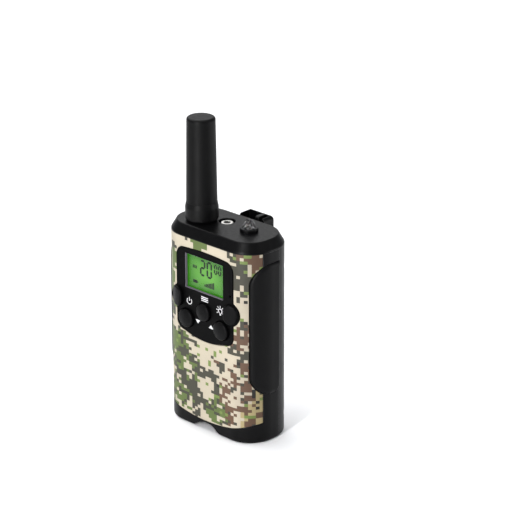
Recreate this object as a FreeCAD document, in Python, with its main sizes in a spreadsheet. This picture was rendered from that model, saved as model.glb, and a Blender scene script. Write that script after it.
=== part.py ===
import FreeCAD, Part
import math
import os
import re
import Sketcher

# Toy walkie talkie. Millimetres, +Z up, the keys face -Y, +X is to the right of someone facing the keys.
# The origin is on the flat base, in the plane halfway between the left and right sides.

DIMENSIONS = {
    # body
    "body_width": 62.0, "body_front": 16.0, "body_back": 16.6, "front_corner": 14.0, "back_corner": 15.5,
    "cap_bottom": 99.2, "cap_top": 104.6, "cap_slope": 2.8, "parting": 4.0, "wall": 2.6, "base_edge": 1.6,
    "arch_radius": 11.4, "arch_rise": 4.4, "arch_foot": 4.0, "arch_depth": 10.0, "arch_skin": 1.4,
    "cap_skin": 2.6, "cap_foot": 0.7, "cap_round": 0.6, "cap_soft": 1.4,
    "lip_tall": 1.8, "lip_thick": 1.2,
    # printed faceplate
    "skin": 1.0, "plate_half": 30.0, "plate_low": 5.3, "plate_corner": 11.0, "seam": 0.15,
    # side grips
    "seat": 1.4, "grip_proud": 1.0, "grip_front": 12.2, "grip_low": 25.6, "grip_top": 93.4,
    "grip_round": 10.0, "grip_rear": 4.0, "grip_edge": 0.95,
    # control panel
    "panel_proud": 0.4, "panel_half": 19.2, "panel_low": 50.2, "panel_top": 93.9, "panel_crown": 0.7,
    "panel_sag": 2.3, "panel_corner": 5.0, "ear_radius": 6.7, "ear_x": 15.9, "ear_z": 67.4,
    # display
    "window_half": 12.6, "window_low": 73.6, "window_top": 91.2, "window_deep": 1.4, "lens_rim": 1.1,
    "lens_thick": 0.8, "lens_gap": 0.08, "glass_rim": 0.8, "glass_deep": 1.9, "glass_thick": 1.6,
    "guide_rim": 1.7,
    # keys
    "ear_key": 3.7, "ear_key_tall": 1.4, "ear_key_x": 18.0, "ear_key_z": 67.6, "low_key": 4.7,
    "low_key_x": 11.8, "low_key_z": 57.5, "menu_key": 4.4, "menu_key_z": 63.7, "key_proud": 2.2,
    "key_gap": 0.3, "key_flange": 0.6, "key_back": 10.4, "key_edge": 0.8, "key_crown": 0.5,
    "key_bend": 13.0, "bend_x": 14.3, "flange_thick": 0.8, "dome_low": 3.0, "dome_high": 2.2,
    "dome_tall": 0.4, "sheet_thick": 0.6,
    # board
    "board_front": 8.6, "board_thick": 1.2, "board_half": 24.5, "board_low": 6.0, "board_top": 96.0,
    "sound_x": 17.5, "sound_z": 76.9, "sound_radius": 0.6, "mic_radius": 2.6, "mic_deep": 2.8,
    "can_thick": 3.0,
    # talk key on the left side
    "talk_y": -1.4, "talk_z": 68.0, "talk_half": 4.0, "talk_tall": 30.0, "talk_proud": 1.6, "talk_gap": 0.3,
    "talk_deep": 3.2, "switch_half": 3.0, "plunger_radius": 1.5, "plunger_length": 1.5,
    # aerial
    "aerial_x": -14.1, "aerial_y": -3.3, "collar_radius": 8.2, "collar_tall": 9.6, "sleeve_low": 7.65,
    "sleeve_high": 7.05, "aerial_top": 157.0, "spigot_radius": 4.0,
    # earphone socket and torch
    "socket_x": -3.5, "socket_y": 3.3, "socket_bore": 1.8, "socket_ring": 3.1, "socket_recess": 4.2,
    "torch_x": 13.7, "torch_y": 0.8, "torch_rim": 4.5, "torch_bore": 3.2, "torch_rim_tall": 1.95,
    "rim_round": 0.6, "lamp_base": 3.05, "lamp_dome": 2.0, "lamp_tall": 8.8,
    # batteries
    "cell_radius": 5.15, "cell_length": 44.5, "cell_pitch": 11.0, "cell_y": 8.6, "cell_low": 9.0,
    "door_half": 17.6, "door_thick": 2.0, "door_top": 58.0, "door_gap": 0.3, "tray_half": 18.0,
    "tray_front": 1.8, "tray_low": 4.6, "tray_top": 58.6, "tray_wall": 1.2,
    # speaker
    "speaker_z": 78.0, "speaker_radius": 14.0,
    # housing screws
    "screw_x": 25.2, "screw_low": 10.0, "screw_high": 88.0, "screw_radius": 1.1, "boss_radius": 3.4,
    "boss_front": 6.0, "screw_tip": 3.8, "head_radius": 2.4, "well_radius": 2.7, "well_floor": 9.0,
    # belt clip
    "clip_half": 8.2, "clip_low": 52.0, "clip_high": 105.0, "clip_front": 21.8, "clip_thick": 2.0,
    "clip_corner": 2.6, "clip_wall": 1.4, "clip_top_round": 1.6,
    "pin_y": 17.7, "pin_z": 97.0, "pin_radius": 1.0, "bracket_low": 68.0, "bracket_y": 14.8,
    "bracket_thick": 1.2, "ear_round": 1.6, "bracket_screw_x": 4.0, "bracket_screw_z": 94.4,
}

SMALL = 1e-6
REACH = "60"

doc = FreeCAD.newDocument("walkie_talkie")
dims = doc.addObject("Spreadsheet::Sheet", "dims")
nodes = []


def fill_sheet():
    for row, (alias, number) in enumerate(DIMENSIONS.items(), 1):
        dims.set("A%d" % row, alias)
        dims.set("B%d" % row, str(number))
        dims.setAlias("B%d" % row, alias)
    doc.recompute()


def full(text):
    """The expression with each dimension's name pointing at the sheet."""
    return re.sub(r"[A-Za-z_]\w*", lambda word: "dims." + word.group() if word.group() in DIMENSIONS
                  else word.group(), str(text))


def value(text):
    return float(dims.evalExpression(full(text)))


def bind(item, prop, text):
    item.setExpression(prop, full(text))


def place(item, x="0", y="0", z="0", rotation=None):
    """Puts an object at a point given by expressions; rotation is (axis, degrees)."""
    if rotation:
        item.Placement.Rotation = FreeCAD.Rotation(FreeCAD.Vector(*rotation[0]), rotation[1])
    for letter, text in zip("xyz", (x, y, z)):
        bind(item, "Placement.Base." + letter, text)


def node(item, label):
    item.Label = label
    nodes.append(item)
    return item


# ---- sketches -------------------------------------------------------------------------------------------

def arc_between(p, q, radius):
    """Minor arc from p to q: counter-clockwise for a positive radius, clockwise for a negative one."""
    chord = math.hypot(q[0] - p[0], q[1] - p[1])
    rise = math.sqrt(max(radius * radius - chord * chord / 4.0, 0.0)) * math.copysign(1.0, radius)
    centre = FreeCAD.Vector((p[0] + q[0]) / 2.0 - (q[1] - p[1]) / chord * rise,
                            (p[1] + q[1]) / 2.0 + (q[0] - p[0]) / chord * rise, 0)
    start = math.atan2(p[1] - centre.y, p[0] - centre.x)
    end = math.atan2(q[1] - centre.y, q[0] - centre.x)
    circle = Part.Circle(centre, FreeCAD.Vector(0, 0, 1), abs(radius))
    if radius < 0:
        start, end = end, start
    return Part.ArcOfCircle(circle, start, end)


def pin_point(sketch, geometry, vertex, x, y):
    for letter, text in (("X", x), ("Y", y)):
        rule = Sketcher.Constraint("Distance" + letter, -1, 1, geometry, vertex, value(text))
        number = sketch.addConstraint(rule)
        name = "%s%d" % (letter.lower(), geometry)
        sketch.renameConstraint(number, name)
        bind(sketch, "Constraints." + name, text)


def set_radius(sketch, geometry, text):
    number = sketch.addConstraint(Sketcher.Constraint("Radius", geometry, value(text)))
    name = "r%d" % geometry
    sketch.renameConstraint(number, name)
    bind(sketch, "Constraints." + name, text)


def draw_loop(sketch, points, arcs=None):
    """Closed outline through pairs of expressions; arcs maps a side to (radius, turn of +1 or -1)."""
    arcs = arcs or {}
    first = sketch.GeometryCount
    spots = [(value(x), value(y)) for x, y in points]
    ends = []
    for side, spot in enumerate(spots):
        after = spots[(side + 1) % len(spots)]
        if side in arcs:
            text, turn = arcs[side]
            sketch.addGeometry(arc_between(spot, after, turn * value(text)), False)
            ends.append((1, 2) if turn > 0 else (2, 1))
        else:
            line = Part.LineSegment(FreeCAD.Vector(*spot, 0), FreeCAD.Vector(*after, 0))
            sketch.addGeometry(line, False)
            ends.append((1, 2))
    for side, (x, y) in enumerate(points):
        after = (side + 1) % len(points)
        sketch.addConstraint(Sketcher.Constraint("Coincident", first + side, ends[side][1],
                                                 first + after, ends[after][0]))
        pin_point(sketch, first + side, ends[side][0], x, y)
    for side, (text, turn) in arcs.items():
        set_radius(sketch, first + side, text)


# ---- part design ----------------------------------------------------------------------------------------

def new_body(name):
    return doc.addObject("PartDesign::Body", name)


def new_sketch(body, role, offset="0"):
    sketch = body.newObject("Sketcher::SketchObject", body.Name + "_sketch")
    plane = [item for item in body.Origin.OriginFeatures if item.Role == role][0]
    sketch.AttachmentSupport = [(plane, "")]
    sketch.MapMode = "FlatFace"
    bind(sketch, "AttachmentOffset.Base.z", offset)
    return sketch


def pad(body, sketch, length):
    feature = body.newObject("PartDesign::Pad", body.Name + "_pad")
    feature.Profile = sketch
    bind(feature, "Length", length)
    doc.recompute()
    return feature


def spin(body, sketch):
    """Full turn of the sketch about its own vertical axis."""
    feature = body.newObject("PartDesign::Revolution", body.Name + "_turn")
    feature.Profile = sketch
    feature.ReferenceAxis = (sketch, ["V_Axis"])
    feature.Angle = 360.0
    doc.recompute()
    return feature


def dress(body, kind, edges, sizes):
    """Fillet or chamfer of the listed edge names; sizes maps the feature's properties to expressions."""
    base = body.Tip
    feature = body.newObject("PartDesign::" + kind, body.Name + "_" + kind.lower())
    feature.Base = (base, edges)
    body.Tip = feature
    for prop, text in sizes.items():
        bind(feature, prop, text)
    doc.recompute()
    return feature


def edges_where(shape, test):
    """Names of the edges that pass the test."""
    return ["Edge%d" % (number + 1) for number, edge in enumerate(shape.Edges) if test(edge)]


def turned(name, points, arcs=None):
    """Body of revolution about Z; points are (radius, height)."""
    body = new_body(name)
    sketch = new_sketch(body, "XZ_Plane")
    draw_loop(sketch, points, arcs)
    spin(body, sketch)
    return body


def front_prism(name, points, arcs, front, back):
    """Prism of an outline seen from the front, from y = front to y = back."""
    body = new_body(name)
    sketch = new_sketch(body, "XZ_Plane", "-(%s)" % back)
    draw_loop(sketch, points, arcs)
    pad(body, sketch, "(%s) - (%s)" % (back, front))
    return body


def side_prism(name, points, arcs, start, end):
    """Prism of an outline seen from the side, (y, z), from x = start to x = end."""
    body = new_body(name)
    sketch = new_sketch(body, "YZ_Plane", start)
    draw_loop(sketch, points, arcs)
    pad(body, sketch, "(%s) - (%s)" % (end, start))
    return body


# ---- primitives and booleans ----------------------------------------------------------------------------

def box(name, x0, y0, z0, x1, y1, z1):
    item = doc.addObject("Part::Box", name)
    for prop, low, high in (("Length", x0, x1), ("Width", y0, y1), ("Height", z0, z1)):
        bind(item, prop, "(%s) - (%s)" % (high, low))
    place(item, x0, y0, z0)
    return item


def rod(name, radius, length, x, y, z, axis="z"):
    """Cylinder that starts at a point and runs along +z, +y or +x."""
    item = doc.addObject("Part::Cylinder", name)
    bind(item, "Radius", radius)
    bind(item, "Height", length)
    turns = {"z": None, "y": ((1, 0, 0), -90), "x": ((0, 1, 0), 90)}
    place(item, x, y, z, turns[axis])
    return item


def fuse(name, items):
    item = doc.addObject("Part::MultiFuse", name)
    item.Shapes = items
    return item


def cut(name, base, tools):
    item = doc.addObject("Part::Cut", name)
    item.Base = base
    item.Tool = tools[0] if len(tools) == 1 else fuse(name + "_tools", tools)
    return item


def common(name, first, second):
    item = doc.addObject("Part::Common", name)
    item.Base = first
    item.Tool = second
    return item


def mirror_x(name, source):
    item = doc.addObject("Part::Mirroring", name)
    item.Source = source
    item.Base = FreeCAD.Vector(0, 0, 0)
    item.Normal = FreeCAD.Vector(1, 0, 0)
    return item


def soften(name, base, test, size, kind="Part::Fillet"):
    """Fillet or chamfer of the base's edges that pass the test."""
    doc.recompute()
    item = doc.addObject(kind, name)
    item.Base = base
    amount = value(size)
    item.Edges = [(number + 1, amount, amount) for number, edge in enumerate(base.Shape.Edges) if test(edge)]
    doc.recompute()
    return item


# ---- shared outlines ------------------------------------------------------------------------------------

def plan_loop(inset):
    """The body's outline seen from above, moved inwards by inset."""
    side = "(body_width / 2 - (%s))" % inset
    front = "(-body_front + (%s))" % inset
    back = "(body_back - (%s))" % inset
    near = "(front_corner - (%s))" % inset
    far = "(back_corner - (%s))" % inset
    points = [("-%s + %s" % (side, near), front), ("%s - %s" % (side, near), front),
              (side, "%s + %s" % (front, near)), (side, "%s - %s" % (back, far)),
              ("%s - %s" % (side, far), back), ("-%s + %s" % (side, far), back),
              ("-" + side, "%s - %s" % (back, far)), ("-" + side, "%s + %s" % (front, near))]
    return points, {1: (near, 1), 3: (far, 1), 5: (far, 1), 7: (near, 1)}


def plan_block(name, inset, low, high):
    body = new_body(name)
    sketch = new_sketch(body, "XY_Plane", low)
    draw_loop(sketch, *plan_loop(inset))
    pad(body, sketch, "(%s) - (%s)" % (high, low))
    return body


def panel_outline(grow):
    """The control panel's outline with its two ears, larger by grow all round."""
    half = "(panel_half + (%s))" % grow
    corner = "(panel_corner + (%s))" % grow
    low = "(panel_low - (%s))" % grow
    top = "(panel_top + (%s))" % grow
    ear = "(ear_radius + (%s))" % grow
    reach = "sqrt(%s ^ 2 - (%s - ear_x) ^ 2)" % (ear, half)
    flat = "(%s - %s)" % (half, corner)
    right = [(flat, low), (half, "%s + %s" % (low, corner)), (half, "ear_z - " + reach),
             (half, "ear_z + " + reach), (half, "%s - %s" % (top, corner)), (flat, top)]
    left = [("-" + x, z) for x, z in reversed(right)]
    bottom = "(%s ^ 2 + panel_sag ^ 2) / (2 * panel_sag)" % flat
    crown = "(%s ^ 2 + panel_crown ^ 2) / (2 * panel_crown)" % flat
    rounds = {0: corner, 2: ear, 4: corner, 5: crown, 6: corner, 8: ear, 10: corner, 11: bottom}
    return right + left, {side: (radius, 1) for side, radius in rounds.items()}


def panel_prism(name, grow):
    return front_prism(name, *panel_outline(grow), "-body_front - panel_proud", "-body_front + 8")


def grip_prism(name, grow):
    """The right grip's outline seen from the side, larger by grow at its front, top and bottom."""
    front = "(-grip_front - (%s))" % grow
    low = "(grip_low - (%s))" % grow
    top = "(grip_top + (%s))" % grow
    turn = "(grip_round + (%s))" % grow
    rear = "(grip_rear + (%s))" % grow
    points = [("parting", "%s + %s" % (low, rear)), ("parting", top), ("%s + %s" % (front, turn), top),
              (front, "%s - %s" % (top, turn)), (front, "%s + %s" % (low, turn)),
              ("%s + %s" % (front, turn), low), ("parting - " + rear, low)]
    arcs = {2: (turn, 1), 4: (turn, 1), 6: (rear, 1)}
    return side_prism(name, points, arcs, "body_width / 2 - 12", "body_width / 2 + 4")


def talk_prism(name, grow, start, end):
    """The talk key's outline seen from the side, a slot with round ends."""
    half = "(talk_half + (%s))" % grow
    low = "talk_z - (talk_tall / 2 - talk_half)"
    high = "talk_z + (talk_tall / 2 - talk_half)"
    points = [("talk_y", low + " - " + half), ("talk_y + " + half, low), ("talk_y + " + half, high),
              ("talk_y", high + " + " + half), ("talk_y - " + half, high), ("talk_y - " + half, low)]
    arcs = {side: (half, 1) for side in (0, 2, 3, 5)}
    return side_prism(name, points, arcs, start, end)


ROUND_KEYS = [
    ("menu_button", "0", "menu_key_z", "menu_key"),
    ("down_button", "-low_key_x", "low_key_z", "low_key"),
    ("up_button", "low_key_x", "low_key_z", "low_key"),
]
OVAL_KEYS = [("power_button", "-ear_key_x"), ("torch_button", "ear_key_x")]


def oval_prism(name, x, grow, front, back):
    """An ear key's outline seen from the front: straight sides and round ends."""
    half = "(ear_key + (%s))" % grow
    low, high = "ear_key_z - ear_key_tall", "ear_key_z + ear_key_tall"
    points = [(x, low + " - " + half), (x + " + " + half, low), (x + " + " + half, high),
              (x, high + " + " + half), (x + " - " + half, high), (x + " - " + half, low)]
    return front_prism(name, points, {side: (half, 1) for side in (0, 2, 3, 5)}, front, back)


def key_holes(name):
    holes = [rod("%s_%s" % (name, label), "%s + key_gap" % radius, "12", x, "-body_front - 2", z, "y")
             for label, x, z, radius in ROUND_KEYS]
    return holes + [oval_prism("%s_%s" % (name, label), x, "key_gap", "-body_front - 2", "-body_front + 10")
                    for label, x in OVAL_KEYS]


def shared_shapes():
    """Blocks that several pieces are cut from."""
    outer = plan_block("outer", "0", "0", "cap_bottom")
    base_edges = edges_where(outer.Shape, lambda edge: edge.BoundBox.ZMax < SMALL)
    dress(outer, "Fillet", base_edges, {"Radius": "base_edge"})
    return {
        "outer": outer,
        "wide": plan_block("wide", "-4", "-2", "cap_bottom"),
        "skin": plan_block("skin_back", "skin", "-2", "cap_bottom + 1"),
        "seat": plan_block("seat_back", "seat", "-2", "cap_bottom + 1"),
        "cavity": plan_block("cavity", "wall", "wall - 0.2", "cap_bottom + 1"),
        "door": plan_block("door_back", "door_thick + door_gap", "-2", "cap_bottom + 1"),
        "front": box("front_side", "-" + REACH, "-" + REACH, "-2", REACH, "parting", "cap_top"),
        "rear": box("rear_side", "-" + REACH, "parting", "-2", REACH, REACH, "cap_top"),
    }


# ---- housing --------------------------------------------------------------------------------------------

def plate_prism(name, grow):
    """The faceplate's outline seen from the front: straight sides and a curved lower edge."""
    low = "(plate_corner - (%s))" % grow
    half = "(plate_half + (%s))" % grow
    sag = "(plate_corner - plate_low)"
    bend = "(plate_half ^ 2 + %s ^ 2) / (2 * %s)" % (sag, sag)
    points = [("-" + half, low), (half, low), (half, "cap_bottom"), ("-" + half, "cap_bottom")]
    return front_prism(name, points, {0: (bend, 1)}, "-body_front - 4", "0")


def screw_places():
    return [("%s_%s" % (side, level), sign + "screw_x", height)
            for side, sign in (("left", "-"), ("right", ""))
            for level, height in (("low", "screw_low"), ("high", "screw_high"))]


def front_housing(shared):
    half = common("front_block", shared["outer"], shared["front"])
    plate_seat = common("plate_seat", cut("plate_ring", shared["wide"], [shared["skin"]]),
                        plate_prism("plate_seat_prism", "seam"))
    seat_ring = cut("seat_ring", shared["wide"], [shared["seat"]])
    panel_seat = common("panel_seat", seat_ring, panel_prism("panel_seat_prism", "seam"))
    right_seat = common("grip_seat_right", seat_ring, grip_prism("grip_seat_prism", "seam"))
    left_seat = mirror_x("grip_seat_left", right_seat)
    window = lens_box("window_hole", "0.1", "-body_front - 2", "-body_front + 6")
    talk_hole = talk_prism("talk_hole", "talk_gap", "-body_width / 2 - 6", "-body_width / 2 + 8")
    sound_hole = rod("sound_hole", "sound_radius", "8", "sound_x", "-body_front - 2", "sound_z", "y")
    arch = arch_prism("base_arch", "0", "arch_depth")
    seats = [plate_seat, panel_seat, right_seat, left_seat]
    openings = [window, talk_hole, sound_hole, arch] + key_holes("wall")
    shell = cut("front_shell", half, [shared["cavity"]] + seats + openings)
    bosses = [rod("front_boss_" + label, "boss_radius", "parting + boss_front", x, "-boss_front", z, "y")
              for label, x, z in screw_places()]
    solid = fuse("front_solid", [shell, arch_vault()] + bosses)
    pilots = [rod("front_pilot_" + label, "screw_radius + 0.02", "boss_front + 6", x, "-screw_tip - 0.6", z,
                  "y") for label, x, z in screw_places()]
    return node(cut("front_housing", solid, pilots), "front_housing")


def arch_prism(name, grow, depth):
    """The arch under the front: a round vault that flows into the base through two foot arcs."""
    radius = "(arch_radius + (%s))" % grow
    foot = "(arch_foot - (%s))" % grow
    hub = "(arch_rise - arch_radius)"
    span = "(arch_radius + arch_foot)"
    reach = "sqrt(%s ^ 2 - (arch_foot - %s) ^ 2)" % (span, hub)
    join = "(%s * %s / %s)" % (reach, radius, span)
    join_height = "(%s + (arch_foot - %s) * %s / %s)" % (hub, hub, radius, span)
    points = [("-" + reach, "-2"), (reach, "-2"), (reach, "arch_foot - " + foot), (join, join_height),
              ("-" + join, join_height), ("-" + reach, "arch_foot - " + foot)]
    return front_prism(name, points, {2: (foot, -1), 3: (radius, 1), 4: (foot, -1)}, "-body_front - 1",
                       "-body_front + " + depth)


def arch_vault():
    """Curved wall that closes the inside of the base over the arch."""
    outer = arch_prism("vault_outer", "arch_skin", "arch_depth + arch_skin")
    inner = arch_prism("vault_inner", "0", "arch_depth")
    keep = box("vault_keep", "-12", "-body_front + 1.6", "0.4", "12", "0", "9")
    return cut("arch_vault", common("vault_block", outer, keep), [inner])


def camo_faceplate(shared):
    ring = cut("faceplate_ring", shared["outer"], [shared["skin"]])
    sheet = common("faceplate_sheet", ring, plate_prism("faceplate_prism", "0"))
    right = grip_prism("faceplate_grip_right", "seam + 0.15")
    left = mirror_x("faceplate_grip_left", right)
    panel = panel_prism("faceplate_panel", "seam")
    return node(cut("camo_faceplate", sheet, [right, left, panel]), "camo_faceplate")


def rear_housing(shared):
    half = common("rear_block", shared["outer"], shared["rear"])
    door_ring = cut("door_ring", shared["wide"], [shared["door"]])
    door_zone = box("door_zone", "-door_half - door_gap", "10", "-2", "door_half + door_gap", REACH,
                    "door_top + door_gap")
    door_space = common("door_space", door_ring, door_zone)
    clip_seat = box("clip_seat", "-clip_half - 0.3", "bracket_y", "bracket_low - 0.3", "clip_half + 0.3",
                    REACH, "cap_bottom + 1")
    shell = cut("rear_shell", half, [shared["cavity"], door_space, clip_seat])
    tray = box("tray_block", "-tray_half", "tray_front", "tray_low", "tray_half",
               "body_back - door_thick - door_gap", "tray_top")
    rods = [rod("rear_boss_rod_" + label, "boss_radius", "20", x, "parting", z, "y")
            for label, x, z in screw_places()]
    bosses = [common(item.Name + "_trimmed", item, shared["outer"]) for item in rods]
    posts = [rod("bracket_post_" + side, "2.6", "bracket_y - 9.5", sign + "bracket_screw_x", "9.5",
                 "bracket_screw_z", "y") for side, sign in (("left", "-"), ("right", ""))]
    solid = fuse("rear_solid", [shell, tray] + bosses + posts)
    hollow = box("tray_hollow", "-tray_half + tray_wall", "tray_front + tray_wall", "tray_low + tray_wall",
                 "tray_half - tray_wall", "30", "tray_top - tray_wall")
    holes = [rod("rear_hole_" + label, "screw_radius + 0.2", "30", x, "0", z, "y")
             for label, x, z in screw_places()]
    wells = [rod("rear_well_" + label, "well_radius", "30", x, "well_floor", z, "y")
             for label, x, z in screw_places()]
    pilots = [rod("bracket_pilot_" + side, "screw_radius + 0.02", "12", sign + "bracket_screw_x", "10.4",
                  "bracket_screw_z", "y") for side, sign in (("left", "-"), ("right", ""))]
    tools = [hollow] + holes + wells + pilots + sound_slots()
    return node(cut("rear_housing", solid, tools), "rear_housing")


def sound_slots():
    """Two ladders of slots beside the belt clip, in front of the loudspeaker."""
    slots = []
    for side, start, end in (("left", "-18.5", "-12.8"), ("right", "12.8", "18.5")):
        for step in range(5):
            low = "speaker_z - 9.8 + %g" % (step * 4.5)
            slots.append(box("slot_%s_%d" % (side, step), start, "11", low, end, "20", low + " + 1.6"))
    return slots


def top_cap(shared):
    body = plan_block("cap_block", "0", "cap_bottom", "cap_top")
    top = value("cap_top")
    rim = edges_where(body.Shape, lambda edge: edge.BoundBox.ZMin > top - SMALL)
    slope = dress(body, "Chamfer", rim, {"Size": "cap_top - cap_bottom - cap_foot", "Size2": "cap_slope"})
    slope.ChamferType = "Two distances"
    doc.recompute()
    rim = edges_where(body.Shape, lambda edge: edge.BoundBox.ZMin > top - SMALL)
    dress(body, "Fillet", rim, {"Radius": "cap_round"})
    foot = value("cap_bottom + cap_foot")
    shoulder = edges_where(body.Shape, lambda edge: abs(edge.BoundBox.ZMin - foot) < 0.001
                           and abs(edge.BoundBox.ZMax - foot) < 0.001)
    dress(body, "Fillet", shoulder, {"Radius": "cap_soft"})
    lip = cut("cap_lip", plan_block("lip_outer", "wall + 0.1", "cap_bottom - lip_tall", "cap_bottom"),
              [plan_block("lip_inner", "wall + 0.1 + lip_thick", "cap_bottom - 2", "cap_bottom + 1")])
    hollow = plan_block("cap_hollow", "cap_slope + 2.0", "cap_bottom - 1", "cap_top - cap_skin")
    holes = [rod("aerial_hole", "spigot_radius + 0.1", "8", "aerial_x", "aerial_y", "cap_top - 5"),
             rod("torch_hole", "torch_bore + 0.05", "8", "torch_x", "torch_y", "cap_top - 5"),
             rod("socket_well", "socket_recess", "8", "socket_x", "socket_y", "cap_top - 1.6"),
             rod("socket_hole", "socket_ring + 0.05", "8", "socket_x", "socket_y", "cap_top - 5")]
    solid = fuse("cap_solid", [cut("cap_shell", body, [hollow]), lip])
    return node(cut("top_cap", solid, holes), "top_cap")


def off_plan(point):
    """Distance of a point outside the body's outline as seen from above."""
    side = value("body_width / 2")
    front, back = value("body_front"), value("body_back")
    radius = value("front_corner") if point.y < 0 else value("back_corner")
    across = abs(point.x) - (side - radius)
    along = (-point.y - (front - radius)) if point.y < 0 else (point.y - (back - radius))
    if across > 0 and along > 0:
        return math.hypot(across, along) - radius
    return max(across, along) - radius


def side_grips(shared):
    """Raised pads on both sides; the left one has a slot for the talk key."""
    face = plan_block("grip_face", "-grip_proud", "0", "cap_bottom")
    ring = cut("grip_ring", face, [shared["seat"]])
    pad_block = common("grip_block", ring, grip_prism("grip_prism", "0"))
    trim = box("grip_trim", "0", "-" + REACH, "0", REACH, "parting - 0.2", "cap_top")
    trimmed = common("grip_trimmed", pad_block, trim)
    proud = value("grip_proud") - 0.05

    def outer_rim(edge):
        return all(off_plan(vertex.Point) > proud for vertex in edge.Vertexes)

    rounded = soften("side_grip_right", trimmed, outer_rim, "grip_edge")
    node(rounded, "side_grip_right")
    left = mirror_x("grip_left_block", rounded)
    slot = talk_prism("grip_talk_slot", "talk_gap", "-body_width / 2 - 6", "-body_width / 2 + 6")
    node(cut("side_grip_left", left, [slot]), "side_grip_left")


# ---- controls -------------------------------------------------------------------------------------------

def lens_box(name, grow, front, back):
    rim = "(lens_rim + (%s))" % grow
    return box(name, "-window_half - " + rim, front, "window_low - " + rim,
               "window_half + " + rim, back, "window_top + " + rim)


LENS_FRONT = "-body_front - panel_proud + window_deep"


def control_panel(shared):
    """Plate with a bevelled rim; its back follows the rounded front of the housing."""
    bevel = "0.35"
    slab = new_body("panel_slab")
    rim = new_sketch(slab, "XZ_Plane", "body_front + panel_proud - " + bevel)
    draw_loop(rim, *panel_outline("0"))
    back = pad(slab, rim, "8")
    back.Reversed = True
    face = new_sketch(slab, "XZ_Plane", "body_front + panel_proud")
    draw_loop(face, *panel_outline("-" + bevel))
    loft = slab.newObject("PartDesign::AdditiveLoft", "panel_bevel")
    loft.Profile = rim
    loft.Sections = [face]
    loft.Ruled = True
    doc.recompute()
    window = lens_box("panel_window", "-lens_rim", "-body_front - 4", "-body_front + 4")
    rebate = lens_box("panel_rebate", "lens_gap", LENS_FRONT, "-body_front + 4")
    sound = rod("panel_sound", "sound_radius", "8", "sound_x", "-body_front - 2", "sound_z", "y")
    raw = cut("panel_raw", slab, [shared["seat"], window, rebate, sound] + key_holes("panel"))
    front = value("-body_front - panel_proud") + SMALL
    inside = value("window_half") + SMALL
    low, high = value("window_low") - SMALL, value("window_top") + SMALL

    def hole_rim(edge):
        span = edge.BoundBox
        frame = abs(span.XMin) < inside and abs(span.XMax) < inside and span.ZMin > low and span.ZMax < high
        return span.YMax < front and (edge.isClosed() or frame)

    node(soften("control_panel", raw, hole_rim, "0.3"), "control_panel")


def display():
    node(lens_box("lcd_window", "0", LENS_FRONT, LENS_FRONT + " + lens_thick"), "lcd_window")
    glass_back = "-body_front + glass_deep + glass_thick"
    node(box("lcd_module", "-window_half - glass_rim", "-body_front + glass_deep", "window_low - glass_rim",
             "window_half + glass_rim", glass_back, "window_top + glass_rim"), "lcd_module")
    node(box("lcd_backlight", "-window_half - guide_rim", glass_back + " + 0.1", "window_low - guide_rim",
             "window_half + guide_rim", "-board_front - 0.1", "window_top + guide_rim"), "lcd_backlight")


def keys():
    """Three round and two oval caps, each with a flange behind the wall."""
    tall = "(body_front + panel_proud + key_proud - key_back)"
    for label, x, z, radius in ROUND_KEYS:
        flat = "(%s - key_edge)" % radius
        points = [("0", "0"), (radius + " + key_flange", "0"), (radius + " + key_flange", "flange_thick"),
                  (radius, "flange_thick"), (radius, tall + " - key_crown - key_edge"),
                  (flat, tall + " - key_crown"), ("0", tall)]
        dome = "(%s ^ 2 + key_crown ^ 2) / (2 * key_crown)" % flat
        cap = turned(label, points, {4: ("key_edge", 1), 5: (dome, 1)})
        place(cap, x, "-key_back", z, ((1, 0, 0), 90))
        node(cap, label)
    face = "-body_front - panel_proud - key_proud"
    rim = value("-body_front + 1")
    for label, x in OVAL_KEYS:
        bend = rod(label + "_bend", "key_bend", "24", x.replace("ear_key_x", "bend_x"),
                   "(%s) + key_bend" % face, "ear_key_z - 12")
        cap = common(label + "_bent", oval_prism(label + "_cap", x, "0", face, "-key_back"), bend)
        block = fuse(label + "_block", [cap, oval_prism(label + "_flange", x, "key_flange",
                                                        "-key_back - flange_thick", "-key_back")])
        node(soften(label, block, lambda edge: edge.BoundBox.YMax < rim, "key_edge"), label)


def keypad_membrane():
    """Silicone sheet on the board with a dome under each key."""
    sheet = box("membrane_sheet", "-board_half + 0.5", "-board_front - sheet_thick", "low_key_z - 6.5",
                "board_half - 0.5", "-board_front", "ear_key_z + 3.8")
    domes = []
    places = [key[:3] for key in ROUND_KEYS] + [(label, x, "ear_key_z") for label, x in OVAL_KEYS]
    for label, x, z in places:
        dome = doc.addObject("Part::Cone", "dome_" + label)
        bind(dome, "Radius1", "dome_low")
        bind(dome, "Radius2", "dome_high")
        bind(dome, "Height", "dome_tall")
        place(dome, x, "-board_front - sheet_thick + 0.1", z, ((1, 0, 0), 90))
        domes.append(dome)
    node(fuse("keypad_membrane", [sheet] + domes), "keypad_membrane")


def talk_key():
    face = plan_block("talk_face", "-talk_proud", "0", "cap_bottom")
    back = "-body_width / 2 + talk_deep"
    stadium = talk_prism("talk_prism", "0", "-body_width / 2 - 6", back)
    raw = common("talk_raw", stadium, face)
    edge = value("-body_width / 2")
    key = soften("ptt_button", raw, lambda item: item.BoundBox.XMax < edge, "0.8")
    node(key, "ptt_button")
    case = box("switch_case", "-board_half - 0.2", "-board_front + board_thick", "talk_z - switch_half",
               "-board_half + 3.4", "talk_y + switch_half", "talk_z + switch_half")
    plunger = rod("switch_plunger", "plunger_radius", "plunger_length", "-board_half - 0.1 - plunger_length",
                  "talk_y", "talk_z", "x")
    node(fuse("ptt_switch", [case, plunger]), "ptt_switch")


# ---- electronics ----------------------------------------------------------------------------------------

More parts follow.
